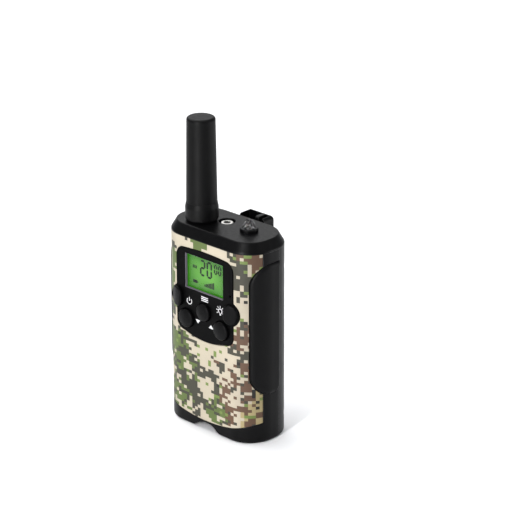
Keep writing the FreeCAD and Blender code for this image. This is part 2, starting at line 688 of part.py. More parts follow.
def electronics():
    board_back = "-board_front + board_thick"
    node(box("main_board", "-board_half", "-board_front", "board_low",
             "board_half", board_back, "board_top"), "main_board")
    node(box("shield_can", "-14", board_back, "66", "16", board_back + " + can_thick", "88"), "shield_can")
    node(rod("microphone", "mic_radius", "mic_deep", "sound_x", "-board_front - mic_deep", "sound_z", "y"),
         "microphone")
    speaker = turned("speaker", [("0", "0"), ("6.5", "0"), ("6.5", "3.2"), ("10", "3.2"),
                                 ("speaker_radius", "5.6"), ("speaker_radius", "7.2"),
                                 ("speaker_radius - 1.6", "7.2"), ("speaker_radius - 1.6", "6.6"),
                                 ("4", "5.4"), ("0", "6.4")])
    place(speaker, "0", "6.6", "speaker_z", ((1, 0, 0), -90))
    node(speaker, "speaker")


def earphone_socket():
    ring = turned("jack_ring", [("socket_bore", "0"), ("socket_ring", "0"), ("socket_ring", "1.7"),
                                ("socket_ring - 0.3", "2"), ("socket_bore", "2")])
    place(ring, "socket_x", "socket_y", "cap_top - 2.6")
    node(ring, "jack_ring")
    barrel = rod("socket_barrel", "4", "11.9", "socket_x", "socket_y", "cap_top - 14.6")
    bore = rod("socket_bore_rod", "socket_bore", "13", "socket_x", "socket_y", "cap_top - 13.4")
    node(cut("earphone_jack", barrel, [bore]), "earphone_jack")


def torch():
    profile = [("torch_bore", "0"), ("torch_rim", "0"), ("torch_rim", "torch_rim_tall - rim_round"),
               ("torch_rim - rim_round", "torch_rim_tall"), ("torch_bore", "torch_rim_tall")]
    rim = turned("torch_collar", profile, {2: ("rim_round", 1)})
    place(rim, "torch_x", "torch_y", "cap_top")
    node(rim, "torch_collar")
    profile = [("0", "0"), ("lamp_base", "0"), ("lamp_base", "4.6"), ("lamp_base - 0.15", "5"),
               ("lamp_dome", "lamp_tall - lamp_dome"), ("0", "lamp_tall")]
    lamp = turned("torch_led", profile, {4: ("lamp_dome", 1)})
    place(lamp, "torch_x", "torch_y", "cap_top - 2.8")
    node(lamp, "torch_led")


def coil(name, radius, wire, pitch, length):
    """Round wire wound about Z."""
    path = doc.addObject("Part::Helix", name + "_path")
    bind(path, "Radius", radius)
    bind(path, "Pitch", pitch)
    bind(path, "Height", length)
    path.SegmentLength = 1.0
    section = doc.addObject("Part::Circle", name + "_section")
    bind(section, "Radius", wire)
    place(section, radius, "0", "0", ((1, 0, 0), 90))
    sweep = doc.addObject("Part::Sweep", name)
    sweep.Sections = [section]
    sweep.Spine = (path, [])
    sweep.Solid = True
    sweep.Frenet = True
    return sweep


def aerial():
    collar = turned("antenna_collar", [("3.2", "-4"), ("spigot_radius", "-4"), ("spigot_radius", "0"),
                                       ("collar_radius - 0.8", "0"), ("collar_radius", "1.4"),
                                       ("collar_radius", "collar_tall - 2.6"),
                                       ("sleeve_low + 0.06", "collar_tall"), ("3.2", "collar_tall")])
    place(collar, "aerial_x", "aerial_y", "cap_top")
    node(collar, "antenna_collar")
    tall = "(aerial_top - cap_top - collar_tall)"
    sleeve = turned("antenna_sleeve", [("5.2", "0"), ("sleeve_low", "0"), ("sleeve_high", tall + " - 1.4"),
                                       ("sleeve_high - 1.4", tall), ("0", tall), ("0", tall + " - 4"),
                                       ("5.2", tall + " - 4")], {2: ("1.4", 1)})
    place(sleeve, "aerial_x", "aerial_y", "cap_top + collar_tall")
    node(sleeve, "antenna_sleeve")
    winding = coil("antenna_coil", "3.8", "0.45", "2", "36")
    place(winding, "aerial_x", "aerial_y", "cap_top + collar_tall + 1.2")
    node(winding, "antenna_coil")


# ---- power ----------------------------------------------------------------------------------------------

CELL_PLACES = [("left", "-cell_pitch"), ("middle", "0"), ("right", "cell_pitch")]


def batteries():
    nub = "0.9"
    for side, x in CELL_PLACES:
        cell = turned("battery_" + side, [("0", "0"), ("cell_radius", "0"),
                                          ("cell_radius", "cell_length - " + nub),
                                          ("1.9", "cell_length - " + nub), ("1.9", "cell_length"),
                                          ("0", "cell_length")])
        place(cell, x, "cell_y", "cell_low")
        node(cell, "battery_" + side)
    plates = [box("contact_" + side, x + " - 4", "cell_y - 4", "cell_low + cell_length + 0.1", x + " + 4",
                  "cell_y + 4", "cell_low + cell_length + 0.5") for side, x in CELL_PLACES]
    node(fuse("contact_plates", plates), "contact_plates")
    springs = []
    for side, x in CELL_PLACES:
        spring = coil("contact_spring_" + side, "2.6", "0.3", "1.1", "2.3")
        place(spring, x, "cell_y", "tray_low + tray_wall + 0.4")
        springs.append(spring)
    node(fuse("contact_springs", springs), "contact_springs")


def battery_door(shared):
    inner = plan_block("door_inner", "door_thick", "-2", "cap_bottom")
    ring = cut("door_skin_ring", shared["outer"], [inner])
    zone = box("door_box", "-door_half", "10", "0.3", "door_half", REACH, "door_top")
    plate = common("door_plate", ring, zone)
    grooves = [box("door_groove_%d" % step, "-6", "body_back - 0.6", "44 + %g" % (step * 2.6), "6", REACH,
                   "44 + %g" % (step * 2.6 + 1.2)) for step in range(4)]
    node(cut("battery_door", plate, grooves), "battery_door")


# ---- fasteners ------------------------------------------------------------------------------------------

def housing_screws():
    """Pan-head screws from the back, each with a cross recess."""
    screws = []
    seat = "(well_floor + screw_tip)"
    profile = [("0", "0"), ("screw_radius", "0.8"), ("screw_radius", seat), ("head_radius", seat),
               ("head_radius", seat + " + 1.2"), ("head_radius - 0.5", seat + " + 1.8"),
               ("0", seat + " + 1.8")]
    for label, x, z in screw_places():
        shaft = turned("screw_shaft_" + label, profile)
        place(shaft, x, "-screw_tip", z, ((1, 0, 0), -90))
        slots = [box("screw_slot_%s_%s" % (label, way), x + " - " + across, "well_floor + 1", z + " - " + up,
                     x + " + " + across, "30", z + " + " + up)
                 for way, across, up in (("wide", "1.5", "0.3"), ("tall", "0.3", "1.5"))]
        screws.append(cut("screw_" + label, shaft, slots))
    node(fuse("housing_screws", screws), "housing_screws")


# ---- belt clip ------------------------------------------------------------------------------------------

def belt_clip_bracket():
    plate_back = "bracket_y + bracket_thick"
    plate = box("bracket_plate", "-clip_half", "bracket_y", "bracket_low", "clip_half", plate_back,
                "cap_bottom - 0.3")
    profile = [(plate_back + " - 0.6", "pin_z - 4.6"), ("pin_y", "pin_z - ear_round"),
               ("pin_y + ear_round", "pin_z"), ("pin_y", "pin_z + ear_round"),
               (plate_back + " - 0.6", "cap_bottom - 0.3")]
    arcs = {1: ("ear_round", 1), 2: ("ear_round", 1)}
    ears = [side_prism("bracket_ear_" + side, profile, arcs, start, end)
            for side, start, end in (("left", "-6.6", "-5"), ("right", "5", "6.6"))]
    holes = [rod("bracket_pin_hole", "pin_radius + 0.02", "30", "-15", "pin_y", "pin_z", "x")]
    for side, sign in (("left", "-"), ("right", "")):
        x = sign + "bracket_screw_x"
        holes.append(rod("bracket_hole_" + side, "screw_radius + 0.1", "8", x, "12", "bracket_screw_z", "y"))
        sink = plate_back + " - 0.7"
        holes.append(rod("bracket_sink_" + side, "2.1", "8", x, sink, "bracket_screw_z", "y"))
    node(cut("belt_clip_bracket", fuse("bracket_solid", [plate] + ears), holes), "belt_clip_bracket")


def bracket_screws():
    screws = []
    for side, sign in (("left", "-"), ("right", "")):
        screw = turned("bracket_screw_" + side, [("0", "0"), ("screw_radius", "0.7"),
                                                 ("screw_radius", "4.5"), ("2", "4.5"), ("2", "5.1"),
                                                 ("0", "5.1")])
        place(screw, sign + "bracket_screw_x", "bracket_y + bracket_thick - 5.15", "bracket_screw_z",
              ((1, 0, 0), -90))
        screws.append(screw)
    node(fuse("bracket_screws", screws), "bracket_screws")


def belt_clip():
    """Sprung lever: a long plate with a nub at its foot, two cheeks around the pin and a hollow top."""
    inner, outer = "clip_front", "(clip_front + clip_thick)"
    cheek = "(pin_y - 1.4)"
    nub = "(body_back + 0.6)"
    turn = "clip_top_round"
    profile = [(outer, "clip_low + 2"), (outer, "clip_high - " + turn), (outer + " - " + turn, "clip_high"),
               ("pin_y + 0.7", "clip_high"), ("pin_y - 0.9", "clip_high - " + turn),
               ("pin_y - 0.2", "pin_z + 2.4"), (cheek, "pin_z"), (cheek, "pin_z - 3.4"),
               (inner, "pin_z - 9"), (inner, "clip_low + 8"), (nub, "clip_low + 4.2"),
               (nub, "clip_low + 1.5"), (nub + " + 1.5", "clip_low"), (outer + " - 2", "clip_low")]
    arcs = {1: (turn, 1), 3: (turn, 1), 11: ("1.52", 1), 13: ("2", 1)}
    block = side_prism("clip_block", profile, arcs, "-clip_half", "clip_half")
    corner = "clip_corner"
    flat = "(clip_half - %s)" % corner
    outline = [("-" + flat, "clip_low"), (flat, "clip_low"), ("clip_half", "clip_low + " + corner),
               ("clip_half", "clip_high - " + corner), (flat, "clip_high"), ("-" + flat, "clip_high"),
               ("-clip_half", "clip_high - " + corner), ("-clip_half", "clip_low + " + corner)]
    rounds = {side: (corner, 1) for side in (1, 3, 5, 7)}
    shaped = common("clip_shaped", block, front_prism("clip_outline", outline, rounds, "10", "30"))
    pocket = box("clip_pocket", "-clip_half + clip_wall", "0", "pin_z - 8", "clip_half - clip_wall", inner,
                 "pin_z + 2.6")
    wells = [box("clip_well_" + side, start, "0", "pin_z + 2", end, inner + " + 0.6", "clip_high + 1")
             for side, start, end in (("left", "-clip_half + clip_wall", "2.2"),
                                      ("right", "4.4", "clip_half - clip_wall"))]
    bore = rod("clip_bore", "pin_radius + 0.05", "30", "-15", "pin_y", "pin_z", "x")
    node(cut("belt_clip", shaped, [pocket, bore] + wells), "belt_clip")
    pin = rod("clip_pin", "pin_radius", "2 * clip_half - 0.4", "-clip_half + 0.2", "pin_y", "pin_z", "x")
    node(pin, "clip_pin")
    spring = coil("clip_spring", "1.35", "0.25", "0.9", "9")
    place(spring, "-4.5", "pin_y", "pin_z", ((0, 1, 0), 90))
    node(spring, "clip_spring")


# ---- build and write ------------------------------------------------------------------------------------

def check_and_export():
    doc.recompute()
    for item in doc.Objects:
        if "Invalid" in item.State or "Error" in item.State:
            raise RuntimeError("%s did not build: %s" % (item.Name, item.State))
    for item in nodes:
        if item.Shape.isNull() or not item.Shape.isValid() or not item.Shape.Solids:
            raise RuntimeError(item.Label + " has no valid solid")
    os.makedirs("parts", exist_ok=True)
    for item in nodes:
        item.Shape.exportStep("parts/%s.step" % item.Label)
        print("%-20s %d solid(s) %9.1f mm3" % (item.Label, len(item.Shape.Solids), item.Shape.Volume))


def build():
    fill_sheet()
    shared = shared_shapes()
    front_housing(shared)
    camo_faceplate(shared)
    rear_housing(shared)
    top_cap(shared)
    side_grips(shared)
    control_panel(shared)
    display()
    keys()
    keypad_membrane()
    talk_key()
    electronics()
    earphone_socket()
    torch()
    aerial()
    batteries()
    battery_door(shared)
    housing_screws()
    belt_clip_bracket()
    bracket_screws()
    belt_clip()
    check_and_export()


build()
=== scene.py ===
import math

import bmesh
import bpy
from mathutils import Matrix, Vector


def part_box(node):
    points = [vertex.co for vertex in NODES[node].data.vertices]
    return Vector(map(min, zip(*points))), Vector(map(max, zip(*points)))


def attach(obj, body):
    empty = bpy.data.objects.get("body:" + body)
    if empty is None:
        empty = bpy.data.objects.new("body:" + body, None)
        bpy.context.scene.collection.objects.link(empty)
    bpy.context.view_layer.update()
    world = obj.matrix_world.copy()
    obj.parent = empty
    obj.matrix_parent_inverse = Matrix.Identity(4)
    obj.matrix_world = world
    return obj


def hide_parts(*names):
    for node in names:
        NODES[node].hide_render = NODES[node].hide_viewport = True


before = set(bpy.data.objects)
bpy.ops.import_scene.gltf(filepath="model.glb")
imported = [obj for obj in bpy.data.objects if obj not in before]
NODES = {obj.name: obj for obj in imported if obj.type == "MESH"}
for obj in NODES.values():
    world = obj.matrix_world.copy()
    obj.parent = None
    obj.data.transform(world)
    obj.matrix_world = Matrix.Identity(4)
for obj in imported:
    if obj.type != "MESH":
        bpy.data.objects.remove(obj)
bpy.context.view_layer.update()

# Toy walkie talkie. The frame is in metres; sizes below are in millimetres and pass through MM.
# +Z is up along the aerial, the keys face -Y, +X is to the right of someone facing the keys.

MM = 0.001


def corners(name):
    """A node's lowest and highest corners in millimetres."""
    low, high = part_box(name)
    return low / MM, high / MM


# ---- node graphs -------------------------------------------------------------------------------------

class Graph:
    """Shorthand for building one material's nodes."""

    def __init__(self, name, material=None):
        self.material = material or bpy.data.materials.new(name)
        self.material.use_nodes = True
        self.nodes = self.material.node_tree.nodes
        self.links = self.material.node_tree.links
        self.shader = self.nodes["Principled BSDF"]

    def node(self, kind, **settings):
        made = self.nodes.new("ShaderNode" + kind)
        for key, setting in settings.items():
            setattr(made, key, setting)
        return made

    def feed(self, socket, source):
        if isinstance(source, bpy.types.NodeSocket):
            self.links.new(source, socket)
        elif source is not None:
            socket.default_value = source

    def set(self, **inputs):
        """Links or sets the shader's inputs; an underscore stands for a space."""
        for key, source in inputs.items():
            self.feed(self.shader.inputs[key.replace("_", " ")], source)

    def math(self, operation, *sources, clamp=False):
        made = self.node("Math", operation=operation, use_clamp=clamp)
        for socket, source in zip(made.inputs, sources):
            self.feed(socket, source)
        return made.outputs[0]

    def vector(self, operation, *sources, output=0):
        made = self.node("VectorMath", operation=operation)
        for socket, source in zip(made.inputs, sources):
            self.feed(socket, source)
        return made.outputs[output]

    def place(self):
        """Position in the row frame, in millimetres."""
        coordinates = self.node("TexCoord").outputs["Object"]
        return self.vector("MULTIPLY", coordinates, (1000.0, 1000.0, 1000.0))

    def split(self, vector):
        made = self.node("SeparateXYZ")
        self.feed(made.inputs[0], vector)
        return list(made.outputs)

    def join(self, x, y, z):
        made = self.node("CombineXYZ")
        for socket, source in zip(made.inputs, (x, y, z)):
            self.feed(socket, source)
        return made.outputs[0]

    def noise(self, vector, scale, detail=2.0, rough=0.5):
        made = self.node("TexNoise")
        self.feed(made.inputs["Vector"], vector)
        made.inputs["Scale"].default_value = scale
        made.inputs["Detail"].default_value = detail
        made.inputs["Roughness"].default_value = rough
        return made.outputs[0]

    def span(self, source, low, high, to_low, to_high):
        """Maps low..high to to_low..to_high, clamped."""
        made = self.node("MapRange")
        for socket, item in zip(made.inputs, (source, low, high, to_low, to_high)):
            self.feed(socket, item)
        return made.outputs[0]

    def scale(self, vector, factor):
        made = self.node("VectorMath", operation="SCALE")
        self.feed(made.inputs[0], vector)
        self.feed(made.inputs[3], factor)
        return made.outputs[0]

    def mix(self, share, first, second):
        made = self.node("Mix", data_type="RGBA")
        self.feed(made.inputs[0], share)
        self.feed(made.inputs[6], first)
        self.feed(made.inputs[7], second)
        return made.outputs[2]

    def bump(self, height, strength, distance, normal):
        made = self.node("Bump")
        made.inputs["Strength"].default_value = strength
        made.inputs["Distance"].default_value = distance * MM
        self.feed(made.inputs["Height"], height)
        self.feed(made.inputs["Normal"], normal)
        return made.outputs[0]

    def edge(self, radius):
        """(softened normal, how near an edge is: 0 on flats, 1 on sharp edges)."""
        bevel = self.node("Bevel", samples=6)
        bevel.inputs["Radius"].default_value = radius * MM
        geometry = self.node("NewGeometry")
        alike = self.vector("DOT_PRODUCT", bevel.outputs[0], geometry.outputs["Normal"], output=1)
        return bevel.outputs[0], self.span(alike, 1.0, 0.8, 0.0, 1.0)


def rgb(red, green, blue):
    """A colour given as it looks on a screen, 0 to 255."""
    return tuple(((level / 255.0 + 0.055) / 1.055) ** 2.4 if level > 10 else level / 255.0 / 12.92
                 for level in (red, green, blue)) + (1.0,)


# ---- materials ---------------------------------------------------------------------------------------

def moulded(name, colour, rough, grain=0.35, depth=0.5, gloss=0.4, wear_and_highlight=0.5, edge=0.2):
    """Moulded plastic or rubber: fine spark texture, cloudy gloss, and edges painted a little lighter,
    partly as wear and partly as a painted highlight.
    """
    g = Graph(name)
    place = g.place()
    fine = g.noise(place, 1.0 / grain, 3.0, 0.6)
    cloud = g.noise(place, 0.11, 3.0, 0.6)
    smear = g.noise(g.vector("MULTIPLY", place, (1.0, 1.0, 0.25)), 0.5, 4.0, 0.65)
    soft, sharp = g.edge(edge)
    # edges painted lighter: partly rubbed wear, partly a painted highlight along ridges and rims
    rubbed_and_highlight = g.math("MULTIPLY", sharp, g.span(cloud, 0.35, 0.65, 0.3 * wear_and_highlight, wear_and_highlight))
    tone = g.span(g.math("ADD", cloud, g.math("MULTIPLY", fine, 0.6)), 0.5, 1.1, 0.82, 1.2)
    base = g.scale(colour[:3], tone)
    lighter = tuple(min(1.0, part * 2.6 + 0.03) for part in colour[:3]) + (1.0,)
    g.set(Base_Color=g.mix(rubbed_and_highlight, base, lighter))
    gloss_cloud = g.math("ADD", g.span(smear, 0.3, 0.7, -0.05, 0.06), g.span(fine, 0.3, 0.7, -0.04, 0.05))
    g.set(Roughness=g.math("SUBTRACT", g.math("ADD", gloss_cloud, rough),
                           g.math("MULTIPLY", rubbed_and_highlight, 0.12)))
    g.shader.inputs["Specular IOR Level"].default_value = gloss
    g.set(Normal=g.bump(fine, depth, 0.02, soft))
    return g.material


def plain(name, colour, rough, metal=0.0, grain=0.3, depth=0.15, gloss=0.5):
    """Metals and small hidden parts: an even colour with a little cloudiness."""
    g = Graph(name)
    place = g.place()
    fine = g.noise(place, 1.0 / grain, 3.0, 0.6)
    cloud = g.noise(place, 0.6, 2.0)
    base = g.scale(colour[:3], g.span(cloud, 0.3, 0.7, 0.85, 1.12))
    g.set(Base_Color=base, Roughness=g.math("ADD", g.span(fine, 0.3, 0.7, -0.06, 0.06), rough))
    g.shader.inputs["Metallic"].default_value = metal
    g.shader.inputs["Specular IOR Level"].default_value = gloss
    g.set(Normal=g.bump(fine, depth, 0.01, g.edge(0.08)[0]))
    return g.material


def clear(name, rough, ior, tint=(1.0, 1.0, 1.0, 1.0)):
    """Clear moulded plastic, a little cloudy in its gloss."""
    g = Graph(name)
    g.shader.inputs["Base Color"].default_value = tint
    g.shader.inputs["Transmission Weight"].default_value = 1.0
    g.shader.inputs["IOR"].default_value = ior
    fine = g.noise(g.place(), 2.0, 3.0)
    g.set(Roughness=g.span(fine, 0.4, 0.7, rough, rough + 0.04))
    return g.material


LENS_LIP = 0.95  # how far the lens reaches past the window on each side


def panel_material(colour, wall_light_colour):
    """The panel's plastic, with painted light on the walls inside the window: the display's glow and the
    light from above, painted paler.
    """
    material = moulded("panel_black", colour, 0.4, gloss=0.035)
    g = Graph("panel_black", material)
    low, high = corners("lcd_window")
    x, _, z = g.split(g.place())
    across = g.math("LESS_THAN", g.math("ABSOLUTE", x), high.x - LENS_LIP)
    middle, half = (low.z + high.z) / 2.0, (high.z - low.z) / 2.0 - LENS_LIP
    tall = g.math("LESS_THAN", g.math("ABSOLUTE", g.math("SUBTRACT", z, middle)), half)
    socket = g.shader.inputs["Base Color"]
    old = socket.links[0].from_socket
    # painted light: the window's walls take a paler colour in place of the glow falling on them
    g.links.new(g.mix(g.math("MULTIPLY", across, tall), old, wall_light_colour), socket)
    return material


# ---- camouflage --------------------------------------------------------------------------------------

# Printed cells, the inks, and the unrolled skin: flat to FRONT_FLAT, then round a corner.
CELL_WIDE, CELL_TALL = 1.9, 1.55
CREAM = rgb(228, 216, 192)
TAN = rgb(205, 186, 134)
GREEN = rgb(106, 126, 62)
LEAF = rgb(132, 156, 76)
OLIVE = rgb(72, 70, 56)
BROWN = rgb(116, 84, 62)
INK = rgb(28, 25, 16)
SCUFF = rgb(70, 66, 58)
CRUMBLE = 0.62  # how much single cells stray at a patch's rim
GROUND_LEAN, GROUND_EDGE, GROUND_STRAY = 0.35, 20.6, 4.0
FRONT_FLAT = 17.0
CORNER = 14.0
CORNER_Y = -2.0

# Patches as (across, height, half width, half height) in millimetres; across follows the printed skin
# round the corner, so 0 is the middle of the front and 33 is at the grip's edge.
GREEN_PATCHES = [
    (-3.6, 97.4, 4.6, 2.4), (-3.4, 94.0, 2.0, 3.0), (-22.0, 86.0, 2.6, 6.5), (-22.6, 60.0, 2.2, 5.5),
    (-17.5, 42.5, 7.5, 6.5), (-14.5, 33.0, 11.0, 7.0), (-13.5, 25.0, 7.5, 4.5), (-15.5, 14.0, 10.5, 6.0),
    (-20.0, 19.5, 4.5, 5.0), (8.2, 11.5, 8.0, 4.6), (3.2, 14.5, 5.0, 3.2), (8.6, 18.6, 4.0, 2.0),
    (-25.5, 74.0, 4.0, 7.0), (-28.0, 44.0, 5.0, 9.0),
]
GREEN_BELOW_PANEL = GREEN_PATCHES[4:12]
OLIVE_PATCHES = [
    (17.6, 97.4, 2.6, 2.4), (21.6, 88.5, 5.8, 9.0), (26.5, 84.5, 3.2, 5.5), (22.4, 78.6, 1.8, 3.2),
    (23.8, 62.0, 3.6, 2.6), (-22.5, 92.5, 3.4, 2.6), (-9.6, 44.8, 4.4, 1.8), (-15.5, 38.5, 4.6, 2.6),
    (-9.0, 35.5, 3.2, 1.8), (-18.6, 27.0, 4.0, 1.4), (-14.0, 22.5, 2.6, 5.0), (-2.0, 31.0, 6.6, 3.4),
    (5.2, 30.0, 3.4, 3.6), (7.6, 23.6, 2.8, 6.0), (-6.6, 20.5, 5.6, 4.0), (-4.8, 15.6, 5.0, 3.4),
    (2.6, 16.2, 3.0, 2.2), (-18.6, 16.2, 3.4, 1.6), (-6.4, 9.8, 4.2, 2.4), (11.2, 38.0, 1.7, 4.4),
    (11.2, 38.4, 4.0, 1.4), (25.0, 46.8, 5.0, 4.6), (19.2, 51.8, 2.8, 2.6), (18.0, 47.6, 3.4, 1.6),
    (-27.0, 58.0, 5.0, 6.0), (-29.5, 88.0, 4.0, 5.0),
]
BROWN_PATCHES = [
    (31.2, 96.0, 3.8, 3.8), (29.8, 91.6, 2.0, 3.0), (21.6, 98.4, 1.8, 1.6), (25.2, 97.2, 1.8, 1.4),
    (24.2, 55.8, 5.2, 5.4), (25.8, 40.4, 4.6, 3.4), (18.4, 36.2, 2.4, 2.4), (13.1, 31.8, 1.4, 1.2),
    (16.8, 27.0, 5.0, 2.8), (12.2, 22.0, 4.0, 2.6), (20.2, 31.6, 2.6, 3.0), (16.6, 15.5, 2.8, 8.2),
    (26.6, 31.0, 2.9, 4.6), (26.6, 24.4, 4.0, 3.2), (23.6, 19.6, 3.4, 4.2), (26.8, 11.8, 3.6, 1.8),
    (32.0, 15.8, 2.0, 1.8), (8.0, 39.4, 1.4, 1.2), (-31.0, 70.0, 3.5, 6.0), (-31.0, 30.0, 3.5, 8.0),
]
LEAF_PATCHES = [
    (25.6, 95.6, 3.2, 3.8), (27.4, 99.0, 2.4, 1.6), (30.4, 88.6, 3.2, 2.8), (33.0, 92.6, 1.6, 3.0),
    (26.6, 80.6, 1.6, 1.4), (22.9, 65.8, 1.5, 2.0), (19.2, 60.0, 1.4, 1.6), (17.8, 51.0, 1.4, 1.4),
    (0.4, 44.6, 1.5, 1.4), (6.6, 44.0, 1.4, 1.6), (10.6, 45.8, 1.4, 1.5), (3.4, 37.4, 1.4, 1.2),
    (24.8, 15.9, 1.5, 1.4), (28.6, 14.0, 2.0, 2.4), (19.0, 10.6, 1.4, 1.6),
]
CREAM_PATCHES = [
    (22.0, 87.6, 1.2, 1.2), (19.0, 98.6, 1.6, 1.2), (17.4, 94.0, 1.4, 1.4), (32.8, 90.2, 1.0, 1.4),
    (21.0, 78.8, 1.5, 2.2), (19.2, 60.4, 1.2, 1.4), (23.6, 58.4, 1.5, 2.6), (-10.6, 43.8, 2.6, 1.2),
    (-8.4, 40.6, 2.0, 1.2), (-13.2, 30.6, 2.2, 1.6), (-9.4, 27.6, 2.4, 3.0), (0.2, 26.4, 1.5, 1.3),
    (-19.8, 24.4, 2.8, 1.2), (-19.2, 21.0, 1.8, 1.8), (1.4, 22.0, 3.6, 5.4), (-2.0, 22.6, 3.2, 1.8),
    (-17.6, 9.8, 3.0, 1.6), (-1.6, 11.0, 1.8, 3.4), (9.6, 9.8, 2.2, 1.1), (14.2, 20.2, 2.4, 1.3),
    (21.4, 25.2, 3.0, 3.4), (19.6, 20.4, 1.6, 1.4), (20.4, 14.4, 2.0, 3.0), (22.6, 9.6, 1.8, 2.4),
    (-11.4, 11.2, 1.4, 2.4),
]
INK_PATCHES = [
    (24.8, 75.2, 1.0, 1.0), (26.1, 64.2, 1.0, 1.0), (30.6, 30.6, 1.1, 1.1), (31.8, 22.4, 1.1, 1.1),
    (31.8, 19.4, 1.1, 1.1), (29.2, 27.6, 1.1, 2.0), (21.6, 43.0, 1.0, 1.0), (-22.0, 49.0, 1.3, 1.2),
    (8.4, 27.6, 1.0, 1.0), (-1.8, 25.2, 1.0, 1.0), (-1.8, 20.2, 1.0, 1.0), (-18.4, 47.0, 1.2, 1.2),
]


def skin_place(g, place):
    """(across, height): position on the printed skin, unrolled round the body's front corners."""
    x, y, z = g.split(place)
    far = g.math("ABSOLUTE", x)
    turn = g.math("ARCTAN2", g.math("MAXIMUM", g.math("SUBTRACT", far, FRONT_FLAT), 0.0),
                  g.math("SUBTRACT", CORNER_Y, y))
    run = g.math("ADD", g.math("MINIMUM", far, FRONT_FLAT), g.math("MULTIPLY", turn, CORNER))
    return g.math("MULTIPLY", run, g.math("SIGN", x)), z


def patch_field(g, spot, patches):
    """Largest value of 1 - distance over the patches, each an ellipse."""
    field = None
    for across, height, half_width, half_height in patches:
        away = g.vector("SUBTRACT", spot, (across, height, 0.0))
        away = g.vector("DIVIDE", away, (half_width, half_height, 1.0))
        inside = g.math("SUBTRACT", 1.0, g.vector("LENGTH", away, output=1))
        field = inside if field is None else g.math("MAXIMUM", field, inside)
    return field


def camo_material():
    """Celled camouflage: each cell takes one ink, from patches whose rims are broken by noise."""
    g = Graph("camo_print")
    place = g.place()
    across, height = skin_place(g, place)
    column = g.math("FLOOR", g.math("DIVIDE", across, CELL_WIDE))
    row = g.math("FLOOR", g.math("DIVIDE", height, CELL_TALL))
    spot = g.join(g.math("MULTIPLY", g.math("ADD", column, 0.5), CELL_WIDE),
                  g.math("MULTIPLY", g.math("ADD", row, 0.5), CELL_TALL), 0.0)
    speck = g.node("TexWhiteNoise", noise_dimensions="3D")
    g.feed(speck.inputs["Vector"], g.join(column, row, 7.0))
    chance = speck.outputs[0]

    def mask(patches, ragged, shift, seed):
        drift = g.noise(g.vector("ADD", spot, (0.0, 0.0, seed)), 0.34, 2.0, 0.7)
        field = g.math("ADD", patch_field(g, spot, patches),
                       g.math("MULTIPLY", g.math("SUBTRACT", drift, 0.5), ragged))
        field = g.math("ADD", field, g.math("MULTIPLY", g.math("SUBTRACT", chance, 0.5), CRUMBLE))
        return g.math("GREATER_THAN", field, shift)

    # the ground turns from cream to tan along a slanted line with a crumbled edge
    cell_across, cell_height, _ = g.split(spot)
    slant = g.math("SUBTRACT", cell_across, g.math("MULTIPLY", cell_height, GROUND_LEAN))
    slant = g.math("ADD", slant, g.math("MULTIPLY", chance, GROUND_STRAY))
    ground = g.mix(g.math("GREATER_THAN", slant, GROUND_EDGE), CREAM, TAN)
    colour = ground
    # patches, ink, how ragged the rims are, level of the rim, seed
    layers = [(GREEN_PATCHES, GREEN, 1.3, -0.02, 11.0), (LEAF_PATCHES, LEAF, 0.5, 0.1, 23.0),
              (OLIVE_PATCHES, OLIVE, 0.9, 0.08, 37.0), (BROWN_PATCHES, BROWN, 0.8, 0.08, 53.0)]
    for patches, ink, ragged, shift, seed in layers:
        colour = g.mix(mask(patches, ragged, shift, seed), colour, ink)
    colour = g.mix(mask(CREAM_PATCHES, 0.35, 0.06, 71.0), colour, ground)
    near_green = g.math("GREATER_THAN", patch_field(g, spot, GREEN_BELOW_PANEL), -0.15)
    near_brown = g.math("GREATER_THAN", patch_field(g, spot, BROWN_PATCHES), -0.5)
    # single cells: where, least and most chance, ink
    specks = [(near_green, 0.91, 1.0, CREAM), (near_green, 0.0, 0.2, OLIVE),
              (near_brown, 0.4, 0.5, BROWN), (near_brown, 0.5, 0.55, OLIVE),
              (near_brown, 0.94, 1.0, ground), (1.0, 0.3, 0.33, OLIVE), (1.0, 0.35, 0.365, LEAF)]
    for near, least, most, ink in specks:
        above, below = g.math("GREATER_THAN", chance, least), g.math("LESS_THAN", chance, most)
        colour = g.mix(g.math("MULTIPLY", near, g.math("MULTIPLY", above, below)), colour, ink)
    colour = g.mix(mask(INK_PATCHES, 0.0, 0.18, 89.0), colour, INK)

    fade = g.noise(place, 0.05, 2.0)
    dots = g.noise(place, 5.5, 1.0)
    tone = g.math("ADD", g.span(fade, 0.3, 0.7, 0.47, 0.54), g.span(dots, 0.3, 0.7, -0.035, 0.035))
    # painted shade: the print is darkened towards the sides, round the corners to the grips
    tone = g.math("MULTIPLY", tone, g.span(g.math("ABSOLUTE", across), 19.0, 31.0, 1.0, 0.75))
    toned = g.scale(colour, tone)
    soft, sharp = g.edge(0.15)
    scuffed = g.math("MULTIPLY", sharp, g.span(fade, 0.4, 0.6, 0.0, 0.5))
    g.set(Base_Color=g.mix(scuffed, toned, SCUFF))
    g.set(Roughness=g.math("ADD", g.span(dots, 0.3, 0.7, -0.05, 0.05), 0.5))
    g.shader.inputs["Specular IOR Level"].default_value = 0.35
    g.set(Normal=g.bump(dots, 0.12, 0.01, soft))
    return g.material


# ---- display -----------------------------------------------------------------------------------------

GLOW_EDGE = rgb(40, 112, 14)
GLOW_MIDDLE = rgb(98, 170, 60)


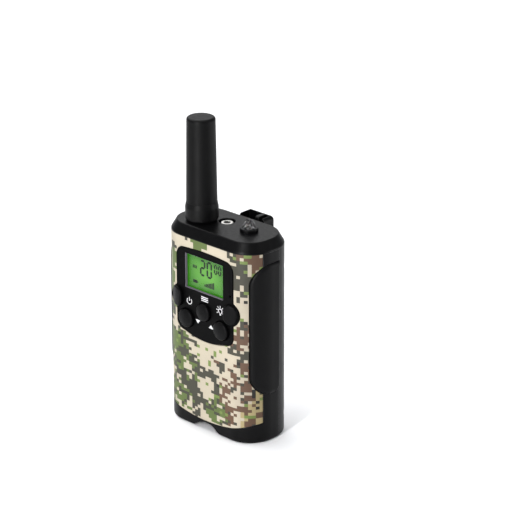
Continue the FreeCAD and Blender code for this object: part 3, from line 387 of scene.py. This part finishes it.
def display_material():
    """Backlit display: bright in the middle, deeper green towards its edges."""
    g = Graph("display_glow")
    low, high = corners("lcd_module")
    place = g.place()
    x, _, z = g.split(place)
    side = g.math("DIVIDE", g.math("ABSOLUTE", x), high.x)
    middle = (low.z + high.z) / 2.0
    tall = g.math("DIVIDE", g.math("ABSOLUTE", g.math("SUBTRACT", z, middle)), (high.z - low.z) / 2.0)
    reach = g.math("POWER", g.math("ADD", g.math("POWER", side, 4.0), g.math("POWER", tall, 4.0)), 0.25)
    glow = g.span(reach, 0.25, 1.0, 1.0, 0.0)
    cloud = g.noise(place, 0.12, 2.0)
    glow = g.math("ADD", glow, g.span(cloud, 0.3, 0.7, -0.1, 0.1))
    colour = g.mix(glow, GLOW_EDGE, GLOW_MIDDLE)
    g.set(Base_Color=g.mix(0.9, colour, (0.0, 0.0, 0.0, 1.0)), Emission_Color=colour)
    g.shader.inputs["Emission Strength"].default_value = 1.0
    g.shader.inputs["Specular IOR Level"].default_value = 0.08
    g.set(Roughness=g.span(g.noise(place, 4.0), 0.3, 0.7, 0.32, 0.4))
    return g.material


# ---- mesh helpers ------------------------------------------------------------------------------------

SMOOTH = 40.0  # edges sharper than this many degrees stay sharp


def loose(name, build):
    """Runs build(bmesh) with points in millimetres and makes an object of the result."""
    mesh = bpy.data.meshes.new(name)
    shape = bmesh.new()
    build(shape)
    bmesh.ops.scale(shape, vec=(MM, MM, MM), verts=shape.verts)
    bmesh.ops.recalc_face_normals(shape, faces=shape.faces)
    shape.to_mesh(mesh)
    shape.free()
    item = bpy.data.objects.new(name, mesh)
    bpy.context.scene.collection.objects.link(item)
    return item


def make_piece(name, build, material, body, replaces=(), smooth=SMOOTH):
    """Builds a piece of the model that rides on a body and takes the place of some nodes."""
    piece = loose(name, build)
    piece.data.materials.append(material)
    shade(piece, smooth)
    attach(piece, body)
    if replaces:
        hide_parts(*replaces)
    return piece


def shade(piece, angle):
    """Smooth shading with edges sharper than angle kept."""
    for face in piece.data.polygons:
        face.use_smooth = True
    piece.data.set_sharp_from_angle(angle=math.radians(angle))


def ring_faces(shape, first, second, closed=True):
    count = len(first)
    for index in range(count if closed else count - 1):
        after = (index + 1) % count
        shape.faces.new((first[index], first[after], second[after], second[index]))


def loft(shape, rings):
    """Closed skin over rings of points, each ring the same length, capped at both ends."""
    made = [[shape.verts.new(point) for point in ring] for ring in rings]
    for first, second in zip(made, made[1:]):
        ring_faces(shape, first, second)
    shape.faces.new(list(reversed(made[0])))
    shape.faces.new(made[-1])


def rounded(points, radii, steps=6):
    """Open polyline with its inner corners rounded; radii are given for the inner points."""
    path = [Vector(points[0])]
    for before, corner, after, radius in zip(points, points[1:], points[2:], radii):
        before, corner, after = Vector(before), Vector(corner), Vector(after)
        into, out = (corner - before).normalized(), (after - corner).normalized()
        turn = into.angle(out)
        if radius <= 0.0 or turn < 0.01:
            path.append(corner)
            continue
        reach = radius * math.tan(turn / 2.0)
        start, end = corner - into * reach, corner + out * reach
        for step in range(steps + 1):
            share = step / steps
            path.append((1 - share) ** 2 * start + 2 * share * (1 - share) * corner + share ** 2 * end)
    path.append(Vector(points[-1]))
    return path


def lathe(shape, profile, x, y, segments):
    """Turns a profile of (radius, height) about an upright axis; zero radii close to a point."""
    rings = []
    for radius, height in profile:
        count = segments if radius > 1e-6 else 1
        angles = [2.0 * math.pi * step / segments for step in range(count)]
        spots = [(x + radius * math.cos(angle), y + radius * math.sin(angle)) for angle in angles]
        rings.append([shape.verts.new((*spot, height)) for spot in spots])
    for first, second in zip(rings, rings[1:]):
        if len(first) == 1 and len(second) == 1:
            continue
        if len(first) == 1 or len(second) == 1:
            tip, loop = (first[0], second) if len(first) == 1 else (second[0], first)
            for step in range(segments):
                shape.faces.new((tip, loop[step], loop[(step + 1) % segments]))
        else:
            ring_faces(shape, first, second)


def dress_node(name, material):
    materials = NODES[name].data.materials
    materials.clear()
    materials.append(material)


# ---- printed marks -----------------------------------------------------------------------------------

def slab(shape, outline, y_front, y_back):
    """Thin plate facing -Y from an outline of (x, z)."""
    front = [shape.verts.new((x, y_front, z)) for x, z in outline]
    back = [shape.verts.new((x, y_back, z)) for x, z in outline]
    shape.faces.new(front)
    shape.faces.new(list(reversed(back)))
    ring_faces(shape, front, back)


def stroke(shape, path, width, y_front, y_back):
    """Ribbon of constant width along an open path of (x, z), facing -Y."""
    spots = [Vector(point) for point in path]
    left, right = [], []
    for index, spot in enumerate(spots):
        before = spots[max(index - 1, 0)]
        after = spots[min(index + 1, len(spots) - 1)]
        along = (after - before).normalized()
        across = Vector((-along.y, along.x)) * width / 2.0
        left.append(spot + across)
        right.append(spot - across)
    rings = [[shape.verts.new((p.x, y, p.y)) for p in side] for side in (left, right)
             for y in (y_front, y_back)]
    left_front, left_back, right_front, right_back = rings
    for first, second in ((left_front, right_front), (right_front, right_back), (right_back, left_back),
                          (left_back, left_front)):
        ring_faces(shape, first, second, closed=False)
    for end in (0, -1):
        shape.faces.new((left_front[end], right_front[end], right_back[end], left_back[end]))


def arc_path(x, z, radius, start, end, steps=32):
    return [(x + radius * math.cos(math.radians(start + (end - start) * step / steps)),
             z + radius * math.sin(math.radians(start + (end - start) * step / steps)))
            for step in range(steps + 1)]


PRINT_THICK = 0.03
PRINT_SUNK = 0.02
POWER_MARK, LAMP_MARK, LIST_MARK = (-10.2, 66.7), (10.9, 67.4), (0.3, 69.5)
LIST_HALF, LIST_PITCH = 2.3, 0.95
RAY_NEAR, RAY_FAR = 1.7, 2.7
ARROW_HALF, ARROW_TALL = 1.5, 1.9
DOWN_ARROW, UP_ARROW = (-4.4, 58.4), (4.5, 56.3)


def panel_marks(material):
    """Symbols beside the keys: power, list, lamp, down and up."""
    front = corners("control_panel")[0].y
    y_front, y_back = front - PRINT_THICK, front + PRINT_SUNK

    def build(shape):
        def line(path, width=0.42):
            stroke(shape, path, width, y_front, y_back)

        power_x, power_z = POWER_MARK
        line(arc_path(power_x, power_z, 1.6, 135.0, 405.0))
        line([(power_x, power_z), (power_x, power_z + 2.1)])
        for level in range(3):
            z = LIST_MARK[1] + LIST_PITCH * level
            line([(LIST_MARK[0] - LIST_HALF, z), (LIST_MARK[0] + LIST_HALF, z)], 0.45)
        lamp_x, lamp_z = LAMP_MARK
        line(arc_path(lamp_x, lamp_z, 1.15, -60.0, 240.0, 24), 0.4)
        line([(lamp_x - 0.55, lamp_z - 1.5), (lamp_x + 0.55, lamp_z - 1.5)], 0.36)
        line([(lamp_x - 0.4, lamp_z - 2.05), (lamp_x + 0.4, lamp_z - 2.05)], 0.36)
        for ray in range(7):
            angle = math.radians(-30 + 40 * ray)
            line([(lamp_x + reach * math.cos(angle), lamp_z + reach * math.sin(angle))
                  for reach in (RAY_NEAR, RAY_FAR)], 0.34)
        for (x, z), tall in ((DOWN_ARROW, -ARROW_TALL), (UP_ARROW, ARROW_TALL)):
            slab(shape, [(x - ARROW_HALF, z), (x + ARROW_HALF, z), (x, z + tall)], y_front, y_back)

    make_piece("panel_symbols", build, material, "root")


# Seven bars of a digit, as (middle across, middle up, lies flat), in shares of the digit's size.
BARS = {"a": (0.5, 1.0, True), "b": (1.0, 0.75, False), "c": (1.0, 0.25, False), "d": (0.5, 0.0, True),
        "e": (0.0, 0.25, False), "f": (0.0, 0.75, False), "g": (0.5, 0.5, True)}


BAR_GAP = 0.1


def digit(shape, bars, x0, z0, width, height, thick, y_front, y_back):
    """Seven-bar figure with pointed bars."""
    for bar in bars:
        across, up, flat = BARS[bar]
        x, z = x0 + across * width, z0 + up * height
        half = (width if flat else height / 2.0) / 2.0 - BAR_GAP
        tip = half - thick / 2.0
        bar_points = [(-half, 0.0), (-tip, -thick / 2), (tip, -thick / 2), (half, 0.0), (tip, thick / 2),
                      (-tip, thick / 2)]
        if flat:
            outline = [(x + run, z + rise) for run, rise in bar_points]
        else:
            outline = [(x - rise, z + run) for run, rise in bar_points]
        slab(shape, outline, y_front, y_back)


FIGURE_THICK = 0.02
# bars lit, left edge, foot, width, height, bar thickness
FIGURES = [("abged", -4.2, 81.6, 2.7, 7.4, 1.1), ("abcdef", 0.3, 81.5, 2.7, 7.6, 1.1),
           ("abcdef", 5.2, 84.6, 1.5, 4.5, 0.85), ("abcdef", 7.9, 84.6, 1.5, 4.5, 0.85)]
STATUS_X, STATUS_FOOT, STATUS_PITCH, STATUS_WIDE, STATUS_TALL = -9.6, 83.9, 1.0, 0.75, 1.6
BATTERY_MARK = [(-9.5, 76.3), (-6.6, 76.3), (-6.6, 76.8), (-5.9, 76.8), (-5.9, 77.4), (-6.6, 77.4),
                (-6.6, 77.9), (-9.5, 77.9)]
WEDGE_X, WEDGE_FOOT, WEDGE_PITCH, WEDGE_WIDE = -1.8, 76.0, 0.98, 0.8
WEDGE_TALL, WEDGE_GROWTH, WEDGE_RISE = 1.1, 0.38, 0.2


def display_figures(material):
    """Dark figures on the display's face: two channels, status bars, a battery mark and a level wedge."""
    face = corners("lcd_module")[0].y
    y_front, y_back = face - FIGURE_THICK, face + FIGURE_THICK

    def build(shape):
        for figure in FIGURES:
            digit(shape, *figure, y_front, y_back)
        for step in range(3):
            x, z = STATUS_X + STATUS_PITCH * step, STATUS_FOOT
            slab(shape, [(x, z), (x + STATUS_WIDE, z), (x + STATUS_WIDE, z + STATUS_TALL),
                         (x, z + STATUS_TALL)], y_front, y_back)
        slab(shape, BATTERY_MARK, y_front, y_back)
        for step in range(7):
            x, z = WEDGE_X + WEDGE_PITCH * step, WEDGE_FOOT
            tall = WEDGE_TALL + WEDGE_GROWTH * step
            slab(shape, [(x, z), (x + WEDGE_WIDE, z), (x + WEDGE_WIDE, z + tall + WEDGE_RISE),
                         (x, z + tall)], y_front, y_back)

    make_piece("display_figures", build, material, "root")


# ---- side grips --------------------------------------------------------------------------------------

# The pads fill the seats of part.py's side grips: SIDE is the wall, run is the way forward along it.
SIDE = 31.0
PARTING = 3.8
BACK_CORNER, BACK_CORNER_Y = 15.5, 1.1
GRIP_FRONT, GRIP_LOW, GRIP_TOP, GRIP_ROUND = -12.2, 25.6, 93.4, 10.0
GRIP_REAR = 4.0
GRIP_PROUD = 0.98
GRIP_EDGE = 2.4
GRIP_LEFT_FRONT = 8.0
GRIP_SEAT = 1.2
GRIP_RIM = 0.25     # the pad's rim lies this far under the wall
GRIP_MARGIN = 0.02  # clear of the seat's two ends
GRIP_ROWS, GRIP_COLUMNS = 96, 34
GRIP_BUNCH = 0.75
TALK_GAP = 0.3
CUT_OUT, CUT_IN = 5.0, 6.0


def side_spot(run, out):
    """Point on the right side wall, run millimetres forward of the back corner, out from the wall."""
    if run < 0.0:
        angle = -run / BACK_CORNER
        return (SIDE - BACK_CORNER + (BACK_CORNER + out) * math.cos(angle),
                BACK_CORNER_Y + (BACK_CORNER + out) * math.sin(angle))
    straight = BACK_CORNER_Y - CORNER_Y
    if run <= straight:
        return SIDE + out, BACK_CORNER_Y - run
    angle = (run - straight) / CORNER
    return (FRONT_FLAT + (CORNER + out) * math.cos(angle), CORNER_Y - (CORNER + out) * math.sin(angle))


def run_at(y):
    """How far forward of the back corner the wall is at a depth y."""
    if y > BACK_CORNER_Y:
        return -BACK_CORNER * math.asin((y - BACK_CORNER_Y) / BACK_CORNER)
    if y >= CORNER_Y:
        return BACK_CORNER_Y - y
    return BACK_CORNER_Y - CORNER_Y + CORNER * math.asin(min(1.0, (CORNER_Y - y) / CORNER))


def corner_cut(near, radius):
    """How far a rounded corner pulls an edge in, near millimetres from the corner's end."""
    if near >= radius:
        return 0.0
    return radius - math.sqrt(max(radius ** 2 - (radius - near) ** 2, 0.0))


def spread(count):
    """Shares from 0 to 1, closer together near both ends."""
    shares = [step / count for step in range(count + 1)]
    return [share + GRIP_BUNCH * math.sin(-2.0 * math.pi * share) / (2.0 * math.pi) for share in shares]


def grip_grid():
    """Rows of (run, z) that fill the grip's outline."""
    grid = []
    for up in spread(GRIP_ROWS):
        z = GRIP_LOW + GRIP_MARGIN + (GRIP_TOP - GRIP_LOW - 2.0 * GRIP_MARGIN) * up
        start = run_at(PARTING - corner_cut(z - GRIP_LOW, GRIP_REAR))
        end = run_at(GRIP_FRONT + corner_cut(min(z - GRIP_LOW, GRIP_TOP - z), GRIP_ROUND))
        grid.append([(start + (end - start) * along, z) for along in spread(GRIP_COLUMNS)])
    return grid


def shoulder(spot, rim, width):
    """Height share of a round shoulder that rises over the given width from the rim."""
    near = min(min(math.hypot(spot[0] - other[0], spot[1] - other[1]) for other in rim), width)
    return math.sqrt(max(1.0 - (1.0 - near / width) ** 2, 0.0))


def grip_build(side):
    """Builder for a raised rubber pad with round shoulders on the +1 or -1 side.

    The left pad rises slowly from its front rim, so the corner there keeps its outline.
    """
    front_width = GRIP_EDGE if side > 0 else GRIP_LEFT_FRONT

    def build(shape):
        grid = grip_grid()
        ends = grid[0] + grid[-1]
        front = [row[-1] for row in grid]
        rear = [row[0] for row in grid]
        outer, inner = [], []
        for row in grid:
            outer_row, inner_row = [], []
            for run, z in row:
                swell = min(shoulder((run, z), ends, GRIP_EDGE), shoulder((run, z), front, front_width),
                            shoulder((run, z), rear, GRIP_EDGE / 2.0))
                out = -GRIP_RIM + (GRIP_PROUD + GRIP_RIM) * swell
                x, y = side_spot(run, out)
                outer_row.append(shape.verts.new((side * x, y, z)))
                x, y = side_spot(run, -GRIP_SEAT)
                inner_row.append(shape.verts.new((side * x, y, z)))
            outer.append(outer_row)
            inner.append(inner_row)
        for sheet in (outer, inner):
            for first, second in zip(sheet, sheet[1:]):
                ring_faces(shape, first, second, closed=False)
        for first, second in ((outer[0], inner[0]), (outer[-1], inner[-1]),
                              ([row[0] for row in outer], [row[0] for row in inner]),
                              ([row[-1] for row in outer], [row[-1] for row in inner])):
            ring_faces(shape, first, second, closed=False)

    return build


def cut_away(piece, cutter):
    """Subtracts the cutter from the piece for good and removes the cutter."""
    modifier = piece.modifiers.new("cut", "BOOLEAN")
    modifier.operation = "DIFFERENCE"
    modifier.solver = "EXACT"
    modifier.object = cutter
    bpy.context.view_layer.update()
    graph = bpy.context.evaluated_depsgraph_get()
    mesh = bpy.data.meshes.new_from_object(piece.evaluated_get(graph))
    piece.modifiers.remove(modifier)
    piece.data = mesh
    bpy.data.objects.remove(cutter)


def side_grips(material):
    make_piece("grip_pad_right", grip_build(1), material, "root", ["side_grip_right"])
    left = make_piece("grip_pad_left", grip_build(-1), material, "root",
                      ["side_grip_left"])
    low, high = corners("ptt_button")
    half = (high.y - low.y) / 2.0 + TALK_GAP
    middle = (high.y + low.y) / 2.0
    arc_low, arc_high = low.z + half - TALK_GAP, high.z - half + TALK_GAP

    def slot_cutter(shape):
        outline = arc_path(middle, arc_high, half, 0.0, 180.0, 30)
        outline += arc_path(middle, arc_low, half, 180.0, 360.0, 30)
        loft(shape, [[(x, y, z) for y, z in outline] for x in (-SIDE - CUT_OUT, -SIDE + CUT_IN)])

    cut_away(left, loose("talk_slot", slot_cutter))
    shade(left, SMOOTH)


# ---- torch -------------------------------------------------------------------------------------------

FLUTES = 8
LAMP_STEPS = FLUTES * 12
LEAD_FOOT = 0.3
LEAD_APART = 0.6


def flute(angle):
    """How deep the groove is at an angle round the lamp: 0 on a ridge, 1 in a groove."""
    return (0.5 - 0.5 * math.cos(FLUTES * angle)) ** 1.5


def fluted_lamp(material):
    """Clear lamp: a plain foot in the collar, then ridges that rise to a crown of blunt points."""
    low, high = corners("torch_led")
    x, y = (low.x + high.x) / 2.0, (low.y + high.y) / 2.0
    foot, tall = (high.x - low.x) / 2.0, high.z - low.z
    # radius, height, groove depth as a share of the radius, drop of the grooves
    levels = [(foot, 0.0, 0.0, 0.0), (foot, 4.5, 0.0, 0.0), (foot - 0.2, 4.9, 0.0, 0.0),
              (foot - 0.3, 5.1, 0.16, 0.0), (foot - 0.5, 6.0, 0.2, 0.0), (foot - 0.75, 7.0, 0.24, 0.0),
              (foot - 0.95, 7.8, 0.28, 0.1), (foot - 1.15, tall - 0.4, 0.32, 0.4),
              (foot - 1.4, tall - 0.05, 0.36, 0.8), (foot - 1.8, tall - 0.15, 0.3, 0.7),
              (foot - 2.4, tall - 0.7, 0.0, 0.0)]

    def build(shape):
        rings = []
        for radius, height, depth, drop in levels:
            ring = []
            for step in range(LAMP_STEPS):
                angle = 2.0 * math.pi * step / LAMP_STEPS
                reach = radius * (1.0 - depth * flute(angle))
                ring.append((x + reach * math.cos(angle), y + reach * math.sin(angle),
                             low.z + height - drop * flute(angle)))
            rings.append(ring)
        loft(shape, rings)

    make_piece("torch_lamp", build, material, "root", ["torch_led"], smooth=50.0)


def lamp_insides(metal):
    """Lead frame inside the clear lamp: a post with a cup and a post with a flag."""
    low, high = corners("torch_led")
    x, y = (low.x + high.x) / 2.0, (low.y + high.y) / 2.0
    base = low.z + LEAD_FOOT

    def build(shape):
        cup = rounded([(0.0, base), (0.4, base), (0.4, base + 4.4), (0.75, base + 5.4), (0.6, base + 5.4),
                       (0.25, base + 4.9), (0.0, base + 4.9)], [0.05, 0.2, 0.05, 0.05, 0.1])
        lathe(shape, [(p.x, p.y) for p in cup], x - LEAD_APART, y, 24)
        flag = [(x + 0.3, base), (x + 0.9, base), (x + 0.9, base + 4.2), (x + 1.2, base + 5.2),
                (x + 0.45, base + 5.2), (x + 0.3, base + 4.6)]
        slab(shape, flag, y - 0.22, y + 0.22)

    make_piece("lamp_lead_frame", build, metal, "root")


# ---- camera, light, stage ----------------------------------------------------------------------------

CAMERA_SPOT = (0.72045, -0.72979, 0.49532)
CAMERA_TILT, CAMERA_TURN = 68.12, 43.62
CAMERA_LENS = 154.43
FLOOR_REACH = 4.0
FLOOR_COLOUR = (0.86, 0.86, 0.87, 1.0)
WORLD_COLOUR = (0.93, 0.96, 1.0, 1.0)
WORLD_STRENGTH = 0.26
CENTRE = (0.0, 0.0, 0.07)
# name, spot in metres, what it faces, size, power in watts
LIGHTS = [
    ("key_box", (0.24, -0.98, 0.6), CENTRE, (0.4, 0.6), 3.2),
    ("aerial_strip", (0.12, -0.485, 0.19), (0.0, 0.0, 0.13), (0.05, 0.36), 2.6),
    ("top_box", (-0.55, 0.05, 1.1), CENTRE, (1.2, 1.2), 18.0),
    ("back_box", (-0.83, 0.87, 0.55), CENTRE, (1.2, 0.6), 2.6),
    ("right_strip", (0.5, 0.44, 0.1), (0.0, 0.0, 0.05), (0.3, 0.18), 1.1),
    ("floor_fill", (0.9, 0.5, 1.5), (0.25, 0.25, 0.0), (1.4, 1.4), 9.0),
]


def set_camera():
    data = bpy.data.cameras.new("camera")
    data.lens = CAMERA_LENS
    data.sensor_width = 36.0
    data.clip_start = 0.01
    camera = bpy.data.objects.new("camera", data)
    camera.location = CAMERA_SPOT
    camera.rotation_euler = (math.radians(CAMERA_TILT), 0.0, math.radians(CAMERA_TURN))
    bpy.context.scene.collection.objects.link(camera)
    bpy.context.scene.camera = camera


def area_light(name, spot, target, size, power):
    data = bpy.data.lights.new(name, "AREA")
    data.shape = "RECTANGLE"
    data.size, data.size_y = size
    data.energy = power
    light = bpy.data.objects.new(name, data)
    light.location = spot
    light.rotation_euler = (Vector(target) - Vector(spot)).to_track_quat("-Z", "Y").to_euler()
    bpy.context.scene.collection.objects.link(light)


def set_stage():
    mesh = bpy.data.meshes.new("floor")
    shape = bmesh.new()
    bmesh.ops.create_grid(shape, x_segments=8, y_segments=8, size=FLOOR_REACH)
    shape.to_mesh(mesh)
    shape.free()
    floor = bpy.data.objects.new("floor", mesh)
    bpy.context.scene.collection.objects.link(floor)
    g = Graph("pale_floor")
    g.set(Base_Color=FLOOR_COLOUR, Roughness=0.9)
    g.shader.inputs["Specular IOR Level"].default_value = 0.1
    mesh.materials.append(g.material)

    world = bpy.data.worlds.new("studio")
    world.use_nodes = True
    background = world.node_tree.nodes["Background"]
    background.inputs["Color"].default_value = WORLD_COLOUR
    background.inputs["Strength"].default_value = WORLD_STRENGTH
    bpy.context.scene.world = world
    for light in LIGHTS:
        area_light(*light)
    bpy.context.scene.view_settings.view_transform = "Standard"


# ---- the object --------------------------------------------------------------------------------------

# Blacks, as linear light.
SHELL_BLACK = KEY_BLACK = (0.0018, 0.0018, 0.002)
PANEL_BLACK = (0.0012, 0.0012, 0.0013)
GRIP_BLACK = (0.0024, 0.0024, 0.0026)
AERIAL_BLACK = (0.0014, 0.0014, 0.0015)


def dress_object():
    shell = moulded("shell_black", SHELL_BLACK, 0.36, gloss=0.1, edge=0.45, wear_and_highlight=0.9)
    # the second colour is painted light on the walls inside the display window
    panel = panel_material(PANEL_BLACK, rgb(104, 100, 108))
    rubber = moulded("grip_rubber", GRIP_BLACK, 0.44, grain=0.45, gloss=0.09, wear_and_highlight=0.25, edge=0.4)
    key = moulded("key_rubber", KEY_BLACK, 0.36, grain=1.1, depth=2.6, gloss=0.07, wear_and_highlight=0.3, edge=0.35)
    aerial = moulded("aerial_rubber", AERIAL_BLACK, 0.46, gloss=0.1, wear_and_highlight=0.4, edge=0.35)
    part = moulded("part_black", rgb(32, 32, 33), 0.5)
    steel = plain("pin_steel", rgb(190, 190, 192), 0.3, 1.0)
    dark_steel = plain("screw_steel", rgb(90, 90, 92), 0.38, 1.0)
    nickel = plain("socket_nickel", rgb(214, 212, 207), 0.28, 1.0)
    mark = plain("mark_ink", rgb(206, 206, 208), 0.6, grain=0.15, gloss=0.2)
    looks = {
        shell: ["front_housing", "rear_housing", "top_cap", "battery_door", "belt_clip",
                "belt_clip_bracket", "torch_collar"],
        panel: ["control_panel"],
        key: ["power_button", "menu_button", "torch_button", "down_button", "up_button", "ptt_button"],
        aerial: ["antenna_collar", "antenna_sleeve"],
        part: ["earphone_jack", "ptt_switch", "speaker"],
        steel: ["clip_pin", "clip_spring", "shield_can", "contact_plates", "contact_springs",
                "microphone"],
        dark_steel: ["housing_screws", "bracket_screws"],
        nickel: ["jack_ring"],
        camo_material(): ["camo_faceplate"],
        display_material(): ["lcd_module"],
        clear("lens_clear", 0.0, 1.2): ["lcd_window"],
        plain("light_guide", rgb(225, 235, 220), 0.4): ["lcd_backlight"],
        plain("silicone_grey", rgb(120, 122, 124), 0.6): ["keypad_membrane"],
        plain("board_green", rgb(20, 84, 44), 0.35): ["main_board"],
        plain("winding_copper", rgb(190, 110, 70), 0.3, 1.0): ["antenna_coil"],
        plain("cell_wrap", rgb(40, 60, 110), 0.3): ["battery_left", "battery_middle", "battery_right"],
    }
    for material, names in looks.items():
        for name in names:
            dress_node(name, material)
    panel_marks(mark)
    display_figures(plain("figure_ink", rgb(6, 22, 8), 0.6, gloss=0.1))
    side_grips(rubber)
    # the lamp is water-clear; its grey tint is painted shade, standing in for the black cap seen through
    # it
    fluted_lamp(clear("torch_clear", 0.03, 1.45, rgb(212, 212, 215)))
    lamp_insides(steel)


dress_object()
set_camera()
set_stage()
bpy.context.view_layer.update()
